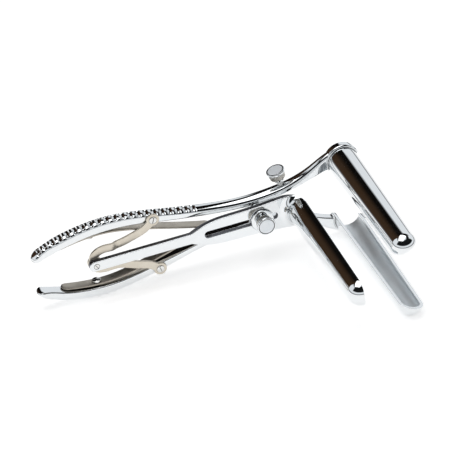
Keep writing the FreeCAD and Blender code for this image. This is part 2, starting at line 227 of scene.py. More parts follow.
# The dark shapes that the polished metal mirrors, each as from, to and soft edge in degrees:
# sides go round from straight behind the table, and heights go up from the level
low_panel_side = (-46.0, 12.0, 2.5)
low_panel_height = (4.0, 60.0, 2.5)
high_panel_side = (-46.0, 62.0, 3.0)
high_panel_height = (37.0, 60.0, 2.5)
near_wall_height = (20.0, 62.0, 2.5)
ceiling_height = (47.0, 67.0, 2.5)
skirting_height = (0.0, 6.0, 1.5)
skirting_share = 0.8
panel_sway = 7.0
panel_fade = (-40.0, -4.0)


def linear(hex_colour):
    """An sRGB hex colour as linear red, green, blue and alpha."""
    values = [int(hex_colour[i:i + 2], 16) / 255 for i in (1, 3, 5)]
    return tuple(v / 12.92 if v <= 0.04045 else ((v + 0.055) / 1.055) ** 2.4 for v in values) + (1.0,)


def add(tree, kind, sockets=(), **settings):
    """Adds a node with its settings; each socket gets a value or a link."""
    node = tree.nodes.new(kind)
    for name, value in settings.items():
        setattr(node, name, value)
    for key, value in dict(sockets).items():
        socket = node.inputs[key]
        if isinstance(value, bpy.types.NodeSocket):
            tree.links.new(value, socket)
        else:
            socket.default_value = value
    return node


def finish_material(name, colour, roughness, spread, smudge_mm, edge_mm, grain=None,
                    crevice_shade=(1.0, 0.35)):
    """A metal: smudged roughness, painted shade that darkens it near other surfaces, edges softened in the
    light, and an optional fine grain.

    grain is (length mm, width mm, height mm): how long and how wide the marks are, and how deep.
    The crevice shade is (mm, share): painted shade, how near to a wall the base colour darkens, and how much
    of the colour is left there.
    """
    material = bpy.data.materials.new(name)
    material.use_nodes = True
    tree = material.node_tree
    shader = tree.nodes["Principled BSDF"]
    shader.inputs["Metallic"].default_value = 1.0
    place = add(tree, "ShaderNodeTexCoord").outputs["Object"]
    smudge = add(tree, "ShaderNodeTexNoise", {"Vector": place, "Scale": 1000 / smudge_mm, "Detail": 4.0,
                                              "Roughness": 0.6})
    rough = add(tree, "ShaderNodeMapRange", {"Value": smudge.outputs["Fac"], "From Min": 0.3, "From Max": 0.7,
                                             "To Min": roughness - spread, "To Max": roughness + spread})
    tree.links.new(rough.outputs["Result"], shader.inputs["Roughness"])
    tone = add(tree, "ShaderNodeMixRGB", {"Fac": smudge.outputs["Fac"], "Color1": linear(colour[0]),
                                          "Color2": linear(colour[1])})
    # Painted shade: the base colour is mixed toward near black close to other surfaces, where shade falls.
    near = add(tree, "ShaderNodeAmbientOcclusion", {"Distance": crevice_shade[0] / 1000}, samples=6)
    shade = add(tree, "ShaderNodeMapRange", {"Value": near.outputs["AO"], "From Min": 0.35, "From Max": 0.95,
                                             "To Min": crevice_shade[1], "To Max": 1.0})
    painted_shade_tone = add(tree, "ShaderNodeMixRGB", {"Fac": shade.outputs["Result"], "Color1": linear("#14110f"),
                                            "Color2": tone.outputs["Color"]})
    tree.links.new(painted_shade_tone.outputs["Color"], shader.inputs["Base Color"])
    normal = add(tree, "ShaderNodeBevel", {"Radius": edge_mm / 1000}, samples=6).outputs["Normal"]
    if grain:
        length, width, height = grain
        stretched = add(tree, "ShaderNodeMapping", {"Vector": place, "Scale": (
            1000 / length, 1000 / width, 1000 / width)})
        marks = add(tree, "ShaderNodeTexNoise", {"Vector": stretched.outputs["Vector"], "Scale": 1.0,
                                                 "Detail": 3.0})
        bump = add(tree, "ShaderNodeBump", {"Height": marks.outputs["Fac"], "Distance": height / 1000,
                                            "Strength": 1.0, "Normal": normal})
        normal = bump.outputs["Normal"]
    tree.links.new(normal, shader.inputs["Normal"])
    return material


# Stainless steel, forged and mirror polished: clear reflections, a faint haze where it was handled
mirror_steel = finish_material("stainless_steel_mirror_polished", ("#e9ebec", "#dfe2e4"), 0.05, 0.025,
                               9.0, 0.25)
# Stainless steel, milled across the edge of the bar: fine marks across the light, and a grey that is painted
# shade, far darker than the polished faces
milled_side_painted_shade = finish_material("stainless_steel_milled_side_painted_shade", ("#6a6b70", "#55565b"), 0.3, 0.06, 3.0, 0.2,
                              (0.8, 6.0, 0.02))
# Nickel plated strip, satin: warm cream with a short fine grain along the strip
satin_link = finish_material("nickel_plated_strip_satin", ("#d9d2c5", "#cac2b4"), 0.34, 0.05, 5.0, 0.25,
                             (4.0, 0.25, 0.004))
# Spring steel, rolled and tempered: grey brown with rolling marks along it
rolled_spring = finish_material("spring_steel_rolled", ("#bab3a8", "#9e978d"), 0.32, 0.06, 6.0, 0.2,
                                (6.0, 0.3, 0.005))
# Stainless steel, brushed along the inside of a half tube: a soft grey sheen, no clear reflections
satin_inside = finish_material("stainless_steel_brushed_inside", ("#f4f7f9", "#e6ecf0"), 0.5, 0.05, 8.0, 0.2,
                               (0.5, 8.0, 0.006))
# Screw steel, turned and polished: bright, with a little haze
turned_screw = finish_material("screw_steel_turned_polished", ("#e4e4e2", "#d6d6d4"), 0.1, 0.03, 2.0, 0.15)
# Stainless steel, bead blasted: the flat tops of the knobs, an even pale sheen
blasted_face = finish_material("stainless_steel_bead_blasted", ("#f2f4f6", "#e4e8ec"), 0.62, 0.04, 2.5, 0.2,
                               (0.3, 0.3, 0.006))
# Stainless steel, knurled: the sides of the knobs, bright points on a duller ground, the hollows of the
# knurling strongly darkened as painted shade
knurled_side = finish_material("stainless_steel_knurled", ("#c9c6c0", "#aba79f"), 0.22, 0.05, 2.0, 0.1,
                               crevice_shade=(0.35, 0.08))
# Stainless steel, its colour near black as painted shade: the ring line in the top of each knob
groove_painted_shade = finish_material("stainless_steel_groove_painted_shade", ("#3a3633", "#2c2927"), 0.4, 0.05,
                                   1.0, 0.05)


def smooth_curve(places, values):
    """A natural cubic through the values, as a function of place."""
    x = np.asarray(places, float)
    y = np.asarray(values, float)
    gap = np.diff(x)
    slope = np.diff(y, axis=0) / gap.reshape(-1, *[1] * (y.ndim - 1))
    size = len(x)
    system = np.eye(size)
    right = np.zeros_like(y)
    for i in range(1, size - 1):
        system[i, i - 1:i + 2] = gap[i - 1], 2 * (gap[i - 1] + gap[i]), gap[i]
        right[i] = 6 * (slope[i] - slope[i - 1])
    bend = np.linalg.solve(system, right.reshape(size, -1)).reshape(y.shape)

    def value(at):
        at = np.atleast_1d(at)
        i = np.clip(np.searchsorted(x, at) - 1, 0, size - 2)
        shape = (-1,) + (1,) * (y.ndim - 1)
        h = gap[i].reshape(shape)
        left = (x[i + 1] - at).reshape(shape)
        back = (at - x[i]).reshape(shape)
        return ((bend[i] * left ** 3 + bend[i + 1] * back ** 3) / (6 * h)
                + (y[i] / h - bend[i] * h / 6) * left + (y[i + 1] / h - bend[i + 1] * h / 6) * back)
    return value


def smooth_path(points, step):
    """Points every step or so along a smooth curve through the given points."""
    points = np.asarray(points, float)
    lengths = np.concatenate([[0], np.cumsum(np.linalg.norm(np.diff(points, axis=0), axis=1))])
    count = max(2, int(lengths[-1] / step))
    return smooth_curve(lengths, points)(np.linspace(0, lengths[-1], count + 1))


def piece(name, points, faces, body, finishes, node=None, face_finish=None, side=1):
    """A mesh piece from points in millimetres. side -1 mirrors it to the lower lever's side."""
    points = np.asarray(points, float) * (1, 1, side)
    mesh = bpy.data.meshes.new(name)
    mesh.from_pydata((points @ metres_from_mm + hinge_place).tolist(), [], [list(face) for face in faces])
    obj = bpy.data.objects.new(name, mesh)
    bpy.context.scene.collection.objects.link(obj)
    for finish in finishes:
        mesh.materials.append(finish)
    if face_finish is not None:
        mesh.polygons.foreach_set("material_index", list(face_finish))
    work = bmesh.new()
    work.from_mesh(mesh)
    bmesh.ops.remove_doubles(work, verts=work.verts, dist=2e-6)
    bmesh.ops.dissolve_degenerate(work, edges=work.edges, dist=1e-6)
    bmesh.ops.recalc_face_normals(work, faces=work.faces)
    work.to_mesh(mesh)
    work.free()
    mesh.shade_smooth()
    mesh.set_sharp_from_angle(angle=sharp_angle)
    if body:
        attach(obj, body)
    if node:
        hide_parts(node)
    return obj


def settle(obj):
    """Applies a piece's modifiers to its mesh."""
    graph = bpy.context.evaluated_depsgraph_get()
    done = bpy.data.meshes.new_from_object(obj.evaluated_get(graph))
    obj.modifiers.clear()
    obj.data = done
    done.shade_smooth()
    done.set_sharp_from_angle(angle=sharp_angle)


def cut_away(obj, *cutters):
    """Cuts the cutters out of a piece, and removes them."""
    for cutter in cutters:
        cut = obj.modifiers.new("cut", "BOOLEAN")
        cut.operation = "DIFFERENCE"
        cut.solver = "EXACT"
        cut.object = cutter
    settle(obj)
    for cutter in cutters:
        bpy.data.objects.remove(cutter)


def soften(obj, width_mm):
    """Rounds a piece's sharp edges."""
    round_edges = obj.modifiers.new("edges", "BEVEL")
    round_edges.width = width_mm / 1000
    round_edges.segments = bevel_steps
    round_edges.limit_method = "ANGLE"
    round_edges.angle_limit = bevel_angle
    settle(obj)


def skin(rings, capped=True):
    """Points and faces of a surface through closed rings of equally many points."""
    rings = np.asarray(rings, float)
    count, size = rings.shape[:2]
    faces = []
    for i in range(count - 1):
        for j in range(size):
            k = (j + 1) % size
            faces.append((i * size + j, i * size + k, (i + 1) * size + k, (i + 1) * size + j))
    if capped:
        faces.append(tuple(range(size)))
        faces.append(tuple((count - 1) * size + j for j in range(size)))
    return rings.reshape(-1, 3), faces


def arc(centre, radius, start, end, steps):
    """Points on an arc in a plane, angles in degrees."""
    angles = np.radians(np.linspace(start, end, steps + 1))
    return np.column_stack([centre[0] + radius * np.cos(angles), centre[1] + radius * np.sin(angles)])


def corner_curve(start, corner, end, t):
    """A round corner from start to end, drawn toward the corner; t runs from 0 to 1."""
    return (1 - t) ** 2 * start + 2 * t * (1 - t) * corner + t ** 2 * end


def rounded(corners, reaches, steps=5):
    """A closed outline whose corners are rounded, each as far back as its reach."""
    corners = np.asarray(corners, float)
    outline = []
    for i, corner in enumerate(corners):
        before = corners[i - 1] - corner
        after = corners[(i + 1) % len(corners)] - corner
        first = corner + before / np.linalg.norm(before) * reaches[i]
        last = corner + after / np.linalg.norm(after) * reaches[i]
        for t in np.linspace(0, 1, steps):
            outline.append(corner_curve(first, corner, last, t))
    return np.array(outline)


def groove_centres(crest):
    """The middles of the round grooves, at one pitch along the crest."""
    run = np.concatenate([[0], np.cumsum(np.linalg.norm(np.diff(crest, axis=0), axis=1))])
    centres = []
    for index in range(groove_count):
        i = int(np.searchsorted(run, groove_start + index * groove_pitch))
        ahead = crest[i + 1] - crest[i]
        outward = np.array([-ahead[1], ahead[0]]) / np.linalg.norm(ahead)
        centres.append(crest[i] + outward * (groove_radius - groove_depth))
    return centres


def lever_outline(palm, top, low, high, crown, along):
    """The outline across a lever: a flat palm side, rounded shoulders and a crowned crest.

    along is 0 at the handle's end and 1 where the shoulders have their least round.
    """
    size = top - palm
    shoulder = top - min(crown, crest_crown_share * size)
    crown = top - shoulder
    edge = min(lever_edge_round, lever_edge_share * size)
    turn = handle_shoulder_round + (lever_shoulder_round - handle_shoulder_round) * along
    turn = min(turn, shoulder_round_share * size)
    half = (high - low) / 2
    rise = (high + low) / 2
    bend = (half ** 2 + crown ** 2) / (2 * crown)
    spread = math.degrees(math.asin(min(1.0, half / bend)))
    kept = spread * (1 - turn / half)
    over = arc((rise, top - bend), bend, 90 - kept, 90 + kept, 16)
    # Of the four rounded corners, five points each, only the two of the palm side are kept
    corners = [(low, shoulder), (low, palm), (high, palm), (high, shoulder)]
    palm_side = rounded(corners, [0.01, edge, edge, 0.01])[5:15]
    t = np.linspace(0, 1, 7)[:-1, None]
    corner = np.array([high, shoulder])
    climb = corner_curve(corner - (0, turn), corner, over[0], t)
    corner = np.array([low, shoulder])
    fall = corner_curve(corner - (0, turn), corner, over[-1], t)
    return np.vstack([palm_side, climb, over, fall[::-1]])


def grooved_outline(ring, x, top, centres):
    """The outline less what the grooves take off, fading out where the crest turns down."""
    depth = 0.0
    for centre in centres:
        chord = groove_radius ** 2 - (x - centre[0]) ** 2
        if chord > 0:
            sunk = (top - centre[1] + math.sqrt(chord)) / groove_lip
            depth = max(depth, groove_lip * math.log1p(math.exp(min(30.0, sunk))))
    if depth <= 0.01:
        return ring
    ahead = np.roll(ring, -1, axis=0) - np.roll(ring, 1, axis=0)
    outward = np.column_stack([ahead[:, 1], -ahead[:, 0]])
    outward /= np.linalg.norm(outward, axis=1)[:, None]
    if outward[np.argmax(ring[:, 1]), 1] < 0:
        outward = -outward
    share = np.clip((outward[:, 1] - groove_fade_start) / groove_fade_reach, 0.0, 1.0)
    return ring - outward * (depth * share)[:, None]


def lever_shape():
    """Rings of one lever, from the handle's end to the arm, with the grooves in its crest."""
    steps = np.linalg.norm(np.diff(lever_stations[:, :3], axis=0), axis=1)
    lengths = np.concatenate([[0], np.cumsum(steps)])
    fine = smooth_curve(lengths, lever_stations)(np.linspace(0, lengths[-1], 6000))
    centres = groove_centres(fine[:, [0, 2]])
    start = fine[0, 0]
    handle_end = centres[-1][0] + groove_radius + 1
    stations = np.concatenate([
        np.linspace(0, 1, 20) ** 2 * 1.6 + start, np.arange(start + 1.8, handle_end, 0.2),
        np.linspace(handle_end + 0.5, arm_end, 110),
    ])
    order = np.argsort(fine[:, 0])
    rings = []
    for x in stations:
        palm, top, low, high, crown = (
            float(np.interp(x, fine[order, 0], fine[order, i])) for i in range(1, 6))
        ring = lever_outline(palm, top, low, high, crown, min(1.0, (x - start) / shoulder_change))
        ring = grooved_outline(ring, x, top, centres)
        nose = 1.0 - min(1.0, (x - start) / handle_nose)
        middle = ring.mean(axis=0)
        ring = middle + (ring - middle) * max(nose_least_share, math.sqrt(1.0 - nose ** 2))
        rings.append(np.column_stack([np.full(len(ring), x), ring]))
    return rings


def axes_across(direction):
    """The direction as an array, and two directions across it and across each other."""
    direction = np.asarray(direction, float)
    across = np.array([1.0, 0.0, 0.0]) if abs(direction[0]) < 0.9 else np.array([0.0, 0.0, 1.0])
    first = across - direction * (across @ direction)
    first /= np.linalg.norm(first)
    return direction, first, np.cross(direction, first)


def turned(name, base, direction, profile, body, finishes, node=None, steps=72, segments=None,
           hollow=False, radius_change=None, side=1):
    """A piece turned on a lathe: its profile is (radius, height) about an axis from base.

    segments gives the finish of each stretch of the profile, and radius_change how far a point
    at an angle, radius and height is moved out.
    """
    direction, first, second = axes_across(direction)
    rings = []
    for step in range(steps):
        angle = math.radians(360.0 * step / steps)
        outward = first * math.cos(angle) + second * math.sin(angle)
        ring = []
        for radius, height in profile:
            if radius_change:
                radius = radius + radius_change(angle, radius, height)
            ring.append(np.asarray(base) + direction * height + outward * radius)
        rings.append(ring)
    size = len(profile)
    faces = []
    finish_of = []
    for i in range(steps):
        k = (i + 1) % steps
        for j in range(size if hollow else size - 1):
            m = (j + 1) % size
            faces.append((i * size + j, i * size + m, k * size + m, k * size + j))
            finish_of.append(segments[j] if segments else 0)
    points = np.array(rings).reshape(-1, 3)
    return piece(name, points, faces, body, finishes, node, finish_of, side=side)


def plate(name, outlines, rises, edge, body, finishes, node=None, side=1):
    """A flat piece cut to an outline, with holes, all its edges rounded.

    The first outline is the outer one. The last finish goes on the cut sides.
    """
    steps = plate_edge_steps
    low, high = rises
    levels = []
    for t in np.linspace(0, math.pi / 2, steps + 1):
        levels.append((edge * (1 - math.sin(t)), low + edge * (1 - math.cos(t))))
    levels += [(inset, low + high - rise) for inset, rise in reversed(levels)]
    points = []
    faces = []
    finish_of = []
    caps = {0: [], len(levels) - 1: []}
    starts = []
    for number, outline in enumerate(outlines):
        outline = np.asarray(outline, float)
        x, z = outline.T
        area = np.sum(x * np.roll(z, -1) - np.roll(x, -1) * z)
        if (area > 0) == (number > 0):
            outline = outline[::-1]
        ahead = np.roll(outline, -1, axis=0) - outline
        ahead /= np.linalg.norm(ahead, axis=1)[:, None]
        inward = np.column_stack([-ahead[:, 1], ahead[:, 0]])
        before = np.roll(inward, 1, axis=0)
        miter = (inward + before) / (1 + np.sum(inward * before, axis=1))[:, None].clip(0.4)
        size = len(outline)
        start = len(points)
        starts.append((start, size))
        for inset, rise in levels:
            for spot in outline + miter * inset:
                points.append((spot[0], rise, spot[1]))
        for i in range(len(levels) - 1):
            for j in range(size):
                k = (j + 1) % size
                row = start + i * size
                faces.append((row + j, row + k, row + size + k, row + size + j))
                finish_of.append(len(finishes) - 1 if steps <= i < len(levels) - 1 - steps else 0)
    for level in caps:
        loops = []
        numbers = []
        for start, size in starts:
            row = [start + level * size + j for j in range(size)]
            loops.append([Vector((points[i][0], points[i][2], 0)) for i in row])
            numbers += row
        for triangle in tessellate_polygon(loops):
            faces.append(tuple(numbers[i] for i in triangle))
            finish_of.append(0)
    return piece(name, points, faces, body, finishes, node, finish_of, side=side)


def strip(path, thickness, rises, edge, lift=None, end_round=0.0):
    """Rings of a strip that follows a path in the along and spread directions, its ends rounded."""
    path = np.asarray(path, float)
    ahead = np.gradient(path, axis=0)
    ahead /= np.linalg.norm(ahead, axis=1)[:, None]
    across = np.column_stack([-ahead[:, 1], ahead[:, 0]])
    low, high = rises
    half = thickness / 2
    section = rounded([(-half, low), (half, low), (half, high), (-half, high)], [edge] * 4, 4)
    middle = (low + high) / 2
    rings = []
    last = len(path) - 1
    run = np.concatenate([[0], np.cumsum(np.linalg.norm(np.diff(path, axis=0), axis=1))])
    for i, (spot, outward) in enumerate(zip(path, across)):
        from_end = min(run[i], run[-1] - run[i]) / end_round if end_round else 1.0
        share = max(0.15, math.sqrt(1.0 - (1.0 - min(1.0, from_end)) ** 2))
        shrink = {0: edge, 1: edge * 0.3, last - 1: edge * 0.3, last: edge}.get(i, 0.0)
        rise = lift(spot[0]) if lift else 0.0
        ring = []
        for offset, height in section:
            offset -= math.copysign(shrink, offset)
            height -= math.copysign(shrink, height - middle)
            height = middle + (height - middle) * share
            place = spot + outward * offset
            ring.append((place[0], height + rise, place[1]))
        rings.append(ring)
    return rings


def cutter(rings):
    """A closed body that is cut away from a piece."""
    points, faces = skin(rings)
    return piece("cutter", points, faces, None, [mirror_steel])


def round_cutter(base, direction, radius, length):
    """A round bar that is cut away from a piece."""
    profile = [(0, 0), (radius, 0), (radius, length), (0, length)]
    return turned("cutter", base, direction, profile, None, [mirror_steel], steps=48)


def driver_cutter(base, direction, width, depth, length, turn):
    """A cutter for a screwdriver slot: base is the middle of the head's face."""
    direction, first, second = axes_across(direction)
    turn = math.radians(turn)
    run = first * math.cos(turn) + second * math.sin(turn)
    wide = second * math.cos(turn) - first * math.sin(turn)
    base = np.asarray(base, float)
    rings = []
    for height in (-depth, 1.0):
        rings.append([base + direction * height + run * a * length / 2 + wide * b * width / 2
                      for a, b in ((-1, -1), (1, -1), (1, 1), (-1, 1))])
    return cutter(rings)


def bend_cutter():
    """What lies outside the round bend between the plate and the middle blade."""
    centre = (middle_place[0] - bend_radius, bar_low + bend_radius)
    curve = [tuple(spot) for spot in arc(centre, bend_radius, 270, 360, 40)]
    right = middle_place[0] + 8
    low = bar_low - 6
    corners = [(centre[0], low)] + curve + [(right, centre[1]), (right, low)]
    return cutter([[(x, rise, z) for x, rise in corners] for z in (-cut_reach, cut_reach)])


def tube_profile(radius, tip_radius, low, top, foot):
    """The outer and the inner line of a blade's wall, as (radius, rise) from its root to its tip."""
    straight_end = top - tip_radius
    root_end = max(low, 0.0) + straight_root
    outer = [(radius, low)]
    if foot:
        seat, flare = foot
        curve = arc((radius + flare, seat + flare), flare, 270, 180, 14)
        outer = [(radius + flare, seat - 0.6)] + [tuple(spot) for spot in curve]
        root_end = max(root_end, seat + flare + 0.5)
    inner = [(radius - blade_wall, rise) for rise in np.linspace(low, root_end - 0.5, len(outer))]
    straight = np.linspace(root_end, straight_end, tube_steps)
    share = (straight - root_end) / (straight_end - root_end)
    for line, wall in ((outer, 0.0), (inner, blade_wall)):
        line += list(zip(radius - wall + (tip_radius - radius) * share, straight))
        tip = arc((0, straight_end), tip_radius - wall, 0, 90, tip_steps)
        line += [tuple(spot) for spot in tip[1:]]
    return outer, inner


def beaded(r, rise, from_rim, tip_radius, tip_start):
    """A point of a blade's inner face, moved inward where a bead thickens the wall at the rim."""
    if from_rim >= lip_width:
        return r, rise
    bead = lip_bead * (1.0 - (from_rim / lip_width) ** 2)
    if rise <= tip_start:
        return r - bead, rise
    kept = 1.0 - bead / (tip_radius - blade_wall)
    return r * kept, tip_start + (rise - tip_start) * kept


def half_tube(name, place, radius, tip_radius, low, top, start, body, node, side=1, foot=None):
    """A blade: a half tube whose wall goes round its closed tip.

    foot is (seat, flare): where the blade stands on its plate, and how far it flares out there.
    Only a blade without a foot has a bead along its rims.
    """
    outer, inner = tube_profile(radius, tip_radius, low, top, foot)
    profile = outer + inner[::-1]
    half = len(outer)
    size = len(profile)
    steps = half_turn_steps
    rings = []
    for step in range(steps + 1):
        angle = math.radians(start + 180.0 * step / steps)
        ring = []
        for number, (r, rise) in enumerate(profile):
            if number >= half and not foot:
                r, rise = beaded(r, rise, r * math.sin(math.pi * step / steps), tip_radius, top - tip_radius)
            x = place[0] + r * math.cos(angle)
            z = place[1] + r * math.sin(angle)
            if foot and number < half and rise < sum(foot):
                widest = plate_half_width(x) - 0.01
                z = max(-widest, min(widest, z))
            ring.append((x, rise, z))
        rings.append(ring)
    points, faces = skin(rings, capped=False)
    finish_of = []
    for number in range(len(faces)):
        row, spot = divmod(number, size)
        from_rim = profile[spot][0] * math.sin(math.pi * (row + 0.5) / steps)
        finish_of.append(1 if half <= spot < size - 1 and from_rim > lip_width else 0)
    for row in (0, steps):
        for i in range(half - 1):
            near = row * size + i
            far = row * size + size - 1 - i
            faces.append((near, near + 1, far - 1, far))
            finish_of.append(0)
    return piece(name, points, faces, body, [mirror_steel, satin_inside], node, finish_of,
                 side=side)


plate_curve = smooth_curve([x for x, z in plate_points], [z for x, z in plate_points])


def plate_half_width(x):
    """Half the width of the bar and its plate, at a place along them."""
    if x < plate_points[0][0]:
        return bar_half_width
    return float(plate_curve(min(x, plate_points[-1][0]))[0])


def make_lever(node, side):
    """The handle, arm and hinge lug of one lever."""
    body = node.split("_")[0]
    points, faces = skin(lever_shape())
    lever = piece(body + "_handle_and_arm", points, faces, body, [mirror_steel], node,
                  side=side)
    root = (blade_place[0], -cut_reach, side * blade_place[1])
    cutters = [round_cutter(root, (0, 1, 0), collar_radius - 0.5, 2 * cut_reach)]
    if side > 0:
        cutters.append(round_cutter(tuple(stop_spot(knob_height)), tuple(-stop_way),
                                    stop_screw_radius + wall_gap, 20.0))
    cut_away(lever, *cutters)
    web_angle = math.degrees(math.acos(lug_web_half / lug_radius))
    ear = np.vstack([arc((0, 0), lug_radius, 180 - web_angle, 360 + web_angle, 40),
                     [(lug_web_half, lug_web_reach), (-lug_web_half, lug_web_reach)]])
    pin_hole = arc((0, 0), hinge_pin_radius + wall_gap, 0, 360, 40)[:-1]
    plate(body + "_hinge_lug", [ear, pin_hole], lug_rises[node], 0.3, body, [mirror_steel],
          side=side)


def make_lever_blade(node, side):
    """A lever's blade, and the thick rounded lip around its root."""
    body = node.split("_")[0]
    blade = half_tube(body + "_half_tube", blade_place, blade_radius, blade_tip_radius, blade_low, blade_top,
                      blade_turn, body, node, side=side)
    soften(blade, 0.5)
    middle = collar_radius - collar_round
    low_round = arc((middle, blade_low + collar_round), collar_round, 270, 360, 8)[1:]
    top_round = arc((middle, collar_top - collar_round), collar_round, 0, 90, 8)
    rim = np.vstack([[(blade_radius, blade_low), (middle, blade_low)], low_round, top_round,
                     [(blade_radius, collar_top)]])
    rings = []
    for angle in np.radians(blade_turn + np.linspace(0, 180, half_turn_steps + 1)):
        rings.append([(blade_place[0] + r * math.cos(angle), rise, blade_place[1] + r * math.sin(angle))
                      for r, rise in rim])
    points, faces = skin(rings)
    collar = piece(body + "_root_lip", points, faces, body, [mirror_steel],
                   node + "_collar", side=side)
    soften(collar, 0.35)


def make_bar():
    """The sliding bar with its slot, the middle blade that stands on it and the screw at its end."""
    places = np.linspace(plate_points[0][0], middle_place[0], 60)
    spots = np.array([(x, float(plate_curve(x)[0])) for x in places])
    nose = arc((bar_end + bar_half_width, 0), bar_half_width, 90, 270, 24)
    end = arc(middle_place, middle_radius, 270, 90, 30)
    outline = np.vstack([spots[::-1], nose, spots * (1, -1), end])
    radius = slot_width / 2
    slot = np.vstack([arc((slot_left + radius, 0), radius, 90, 270, 20),
                      arc((slot_right - radius, 0), radius, -90, 90, 20)])
    screw_hole = arc(bar_pin, end_head_radius + 0.02, 0, 360, 28)[:-1]
    # The bar's cut sides are coloured dark grey: painted shade.
    sliding_bar = plate("sliding_bar", [outline, slot, screw_hole], (bar_low, bar_high), 0.35, "bar",
                        [mirror_steel, milled_side_painted_shade], "centre_bar")
    cut_away(sliding_bar, bend_cutter())
    blade = half_tube("middle_half_tube", middle_place, middle_radius, middle_tip_radius, bar_low, middle_top,
                      90.0, "bar", "middle_blade", foot=(bar_high, foot_radius))
    cut_away(blade, bend_cutter())
    soften(blade, 0.45)
    head = [(0, bar_low + 0.2), (end_screw_radius, bar_low + 0.2), (end_screw_radius, bar_high - 1.0),
            (end_head_radius, bar_high - 0.15), (end_head_radius - 0.15, bar_high), (0, bar_high)]
    screw = turned("bar_end_screw_head", (bar_pin[0], 0, bar_pin[1]), (0, 1, 0), head, "bar", [turned_screw],
                   "bar_end_screw", steps=40)
    cut_away(screw, driver_cutter((bar_pin[0], bar_high, bar_pin[1]), (0, 1, 0), slot_cut_width,
                                  slot_cut_depth, 8.0, 60))


def make_link(side_name, side):
    """A bent strap from the lever's screw to the end of the bar, with a round eye at each end."""
    hook = link_hooks[side_name]
    step = link_step if side > 0 else 0.0
    route = [link_pin] + link_knees + [(link_bend_x, hook), (link_hook_x, hook), (link_return_x, hook / 2),
                                       bar_pin]
    rises = (link_low, link_low + link_thickness)

    def lift(x):
        t = min(1.0, max(0.0, (link_bend_x + link_step_length / 2 - x) / link_step_length))
        return step * t * t * (3 - 2 * t)

    body = side_name + "_link"
    points, faces = skin(strip(smooth_path(route, 0.5), link_width, rises, 0.3, lift))
    strap = piece(body + "_strap", points, faces, body, [satin_link], body, side=side)
    ends = [("handle", link_pin, link_eye_radius, link_screw_radius + wall_gap),
            ("bar", bar_pin, bar_eye_radius, end_screw_radius + wall_gap)]
    cut_away(strap, *[round_cutter((pin[0], -9, side * pin[1]), (0, 1, 0), hole, 18)
                      for label, pin, radius, hole in ends])
    for label, pin, radius, hole in ends:
        lifted = lift(pin[0])
        eye = arc(pin, radius, 0, 360, 56)[:-1]
        bore = arc(pin, hole, 0, 360, 32)[:-1]
        plate(body + "_" + label + "_eye", [eye, bore], (rises[0] + lifted + 0.02, rises[1] + lifted - 0.02),
              0.28, body, [satin_link], side=side)


def make_link_screw(body, side):
    """A screw with a domed and slotted head, the pivot of a link."""
    seat = link_low + link_thickness + face_gap / 2
    top = seat + link_head_height
    profile = [(0, link_screw_low), (link_screw_radius, link_screw_low), (link_screw_radius, seat),
               (link_head_radius, seat), (link_head_radius, top - link_head_dome - 0.08)]
    for i in range(19):
        climb = link_head_dome * (1 - (1 - i / 18) ** 2)
        profile.append((link_head_radius - 0.08 - 0.12 * i, top - link_head_dome + climb))
    screw = turned(body + "_link_screw_head", (link_pin[0], 0, link_pin[1]), (0, 1, 0), profile, body,
                   [turned_screw], body + "_link_screw", steps=56, side=side)
    turn = -70 if side > 0 else 75
    cut_away(screw, driver_cutter((link_pin[0], top, side * link_pin[1]), (0, 1, 0), slot_cut_width,
                                  link_head_height - 0.1, 12.0, turn))


def make_spring(body, side):
    """A leaf spring with rounded ends, and the screw that holds it against its handle."""
    points, faces = skin(strip(smooth_path(spring_points, 0.4), spring_thickness, spring_rises, 0.3,
                               end_round=spring_end_round))
    piece(body + "_leaf_spring", points, faces, body, [rolled_spring], body + "_spring",
          side=side)
    rise = sum(spring_rises) / 2
    low = spring_seat[1] - spring_thickness / 2 - spring_head_gap - spring_head_height
    end = spring_head_height + spring_screw_length
    profile = [(0, 0), (spring_head_radius - 0.35, 0), (spring_head_radius - 0.1, 0.12),
               (spring_head_radius, 0.4), (spring_head_radius, spring_head_height),
               (spring_screw_radius, spring_head_height), (spring_screw_radius, end), (0, end)]
    screw = turned(body + "_spring_screw_head", (spring_seat[0], rise, low), (0, 0, 1), profile, body,
                   [turned_screw], body + "_spring_screw", steps=56, side=side)
    cut_away(screw, driver_cutter((spring_seat[0], rise, side * low), (0, 0, -side), slot_cut_width,
                                  slot_cut_depth, 14.0, 0))


